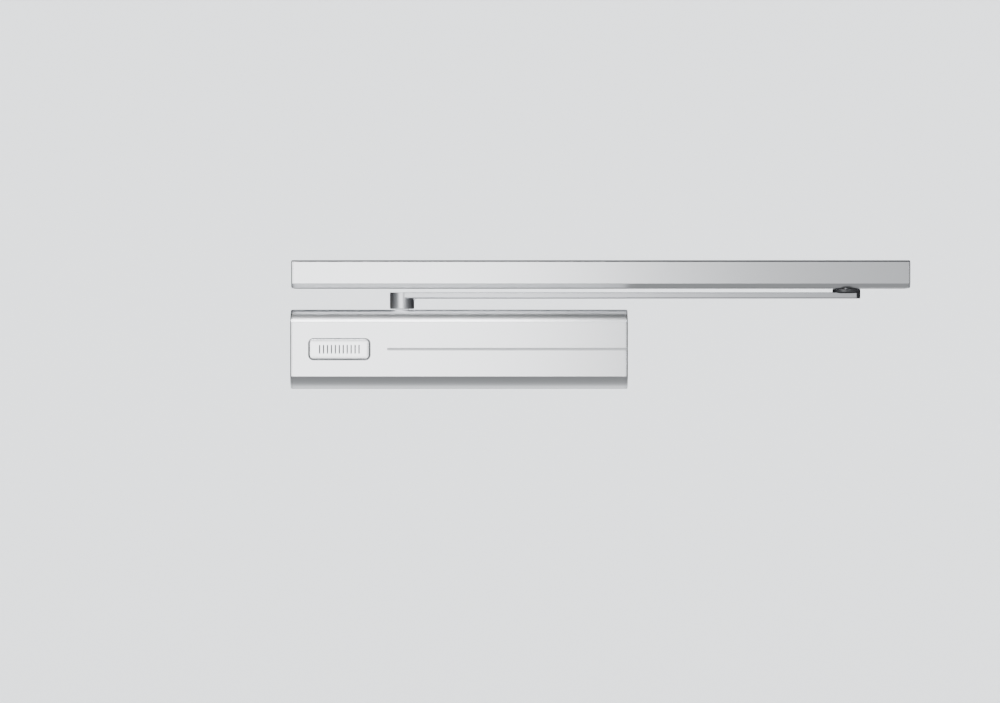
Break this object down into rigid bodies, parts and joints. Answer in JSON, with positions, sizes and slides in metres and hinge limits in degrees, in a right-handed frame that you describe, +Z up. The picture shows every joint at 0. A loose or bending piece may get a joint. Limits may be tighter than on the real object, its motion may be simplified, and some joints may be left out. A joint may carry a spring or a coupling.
{
  "type": "door closer",
  "caption": "Slim cam-action surface door closer: a long rounded aluminium cover over a hydraulic body, a flat arm and a guide rail with a slider.",
  "frame": {"origin": "centre of the closer body's four fixing holes, on the back face that lies on the door leaf", "axes": "+X along the door away from its hinges, -Y out of the door into the room, +Z up; the arm lies along +X as with the door shut"},
  "size_m": [0.442, 0.0444, 0.0918],
  "materials": {
    "anodised_aluminium": "fine satin, silver anodised",
    "end_cap_silver": "silver lacquer, satin",
    "cast_aluminium": "cast and machined, matt",
    "arm_silver": "silver lacquer on forged steel, satin",
    "machined_steel": "turned and ground",
    "hardened_steel": "hardened and ground, bright",
    "spring_steel": "oiled, dark",
    "zinc_steel": "zinc plated",
    "valve_brass": "turned",
    "seal_rubber": "matt black",
    "black_plastic": "moulded, fine matt",
    "badge_silver": "satin silver, slightly domed"
  },
  "bodies": {
    "closer_body": {"housing": "cast_aluminium", "end_plug_left": "zinc_steel", "end_plug_right": "zinc_steel", "plug_seals": "seal_rubber", "channel_balls": "hardened_steel", "bearing_carrier": "zinc_steel", "upper_bearing": "machined_steel", "lower_bearing": "machined_steel", "upper_shaft_seal": "seal_rubber", "lower_shaft_seal": "seal_rubber", "closing_spring": "spring_steel", "follower_spring": "spring_steel", "valve_seals": "seal_rubber", "cover_shell": "anodised_aluminium", "cover_cap_left": "end_cap_silver", "cover_cap_right": "end_cap_silver", "cover_clips": "black_plastic", "badge": "badge_silver", "lower_slot_insert": "end_cap_silver"},
    "arm_and_cam": {"cam_spindle": "hardened_steel", "arm": "arm_silver", "arm_screw": "zinc_steel", "arm_end_bush": "black_plastic"},
    "slider": {"slider_block": "black_plastic", "slider_pin": "zinc_steel", "slider_clip": "spring_steel"},
    "guide_rail": {"rail_profile": "anodised_aluminium", "rail_cap_left": "end_cap_silver", "rail_cap_right": "end_cap_silver", "rail_mount_left": "cast_aluminium", "rail_mount_right": "cast_aluminium", "rail_lock_screws": "zinc_steel"},
    "closing_piston_group": {"closing_piston": "machined_steel", "closing_roller_axle": "hardened_steel", "check_valve": "valve_brass"},
    "closing_roller_body": {"closing_roller": "hardened_steel"},
    "damping_piston_group": {"damping_piston": "machined_steel", "damping_roller_axle": "hardened_steel", "relief_valve": "valve_brass"},
    "damping_roller_body": {"damping_roller": "hardened_steel"},
    "spring_seat_body": {"spring_seat": "machined_steel"},
    "adjust_screw_body": {"spring_adjust_screw": "zinc_steel"},
    "closing_speed_valve_body": {"closing_speed_valve": "zinc_steel"},
    "latch_speed_valve_body": {"latch_speed_valve": "zinc_steel"},
    "backcheck_valve_body": {"backcheck_valve": "zinc_steel"}
  },
  "joints": [
    {"name": "spindle_swing", "type": "hinge", "parent": "closer_body", "child": "arm_and_cam", "pos_m": [-0.041, -0.0205, 0.03], "axis": [0, 0, 1], "range_deg": [0, 170], "stiffness_Nm_per_rad": 2, "springref_deg": -171.89},
    {"name": "slider_pivot", "type": "hinge", "parent": "arm_and_cam", "child": "slider", "pos_m": [0.277, -0.0205, 0.0436], "axis": [0, 0, 1], "range_deg": [-45, 45]},
    {"name": "rail_slide", "type": "slide", "parent": "slider", "child": "guide_rail", "axis": [1, 0, 0], "range_m": [-0.015, 0.366]},
    {"name": "closing_piston_slide", "type": "slide", "parent": "closer_body", "child": "closing_piston_group", "axis": [1, 0, 0], "range_m": [0, 0.00832], "deforming": ["closing_spring"]},
    {"name": "closing_roller_spin", "type": "hinge", "parent": "closing_piston_group", "child": "closing_roller_body", "pos_m": [-0.02676, -0.0205, 0], "axis": [0, 0, 1], "continuous": true},
    {"name": "damping_piston_slide", "type": "slide", "parent": "closer_body", "child": "damping_piston_group", "axis": [1, 0, 0], "range_m": [0, 0.00832], "deforming": ["follower_spring"]},
    {"name": "damping_roller_spin", "type": "hinge", "parent": "damping_piston_group", "child": "damping_roller_body", "pos_m": [-0.06356, -0.0205, 0], "axis": [0, 0, 1], "continuous": true},
    {"name": "spring_adjust_turn", "type": "hinge", "parent": "closer_body", "child": "adjust_screw_body", "pos_m": [0.1, -0.0205, 0], "axis": [-1, 0, 0], "range_deg": [0, 2162]},
    {"name": "spring_seat_slide", "type": "slide", "parent": "closer_body", "child": "spring_seat_body", "axis": [-1, 0, 0], "range_m": [0, 0.0075]},
    {"name": "closing_speed_turn", "type": "hinge", "parent": "closer_body", "child": "closing_speed_valve_body", "pos_m": [-0.09, -0.04, 0.0127], "axis": [0, 1, 0], "range_deg": [0, 720]},
    {"name": "latch_speed_turn", "type": "hinge", "parent": "closer_body", "child": "latch_speed_valve_body", "pos_m": [-0.077, -0.04, 0.0127], "axis": [0, 1, 0], "range_deg": [0, 720]},
    {"name": "backcheck_turn", "type": "hinge", "parent": "closer_body", "child": "backcheck_valve_body", "pos_m": [-0.09, -0.04, -0.0127], "axis": [0, 1, 0], "range_deg": [0, 720]}
  ],
  "couplings": [
    {"joint": "closing_piston_slide", "follows": "spindle_swing", "m_per_rad": 0.0028011},
    {"joint": "damping_piston_slide", "follows": "spindle_swing", "m_per_rad": 0.0028011},
    {"joint": "spring_adjust_turn", "follows": "spring_seat_slide", "rad_per_m": 5026.5}
  ]
}
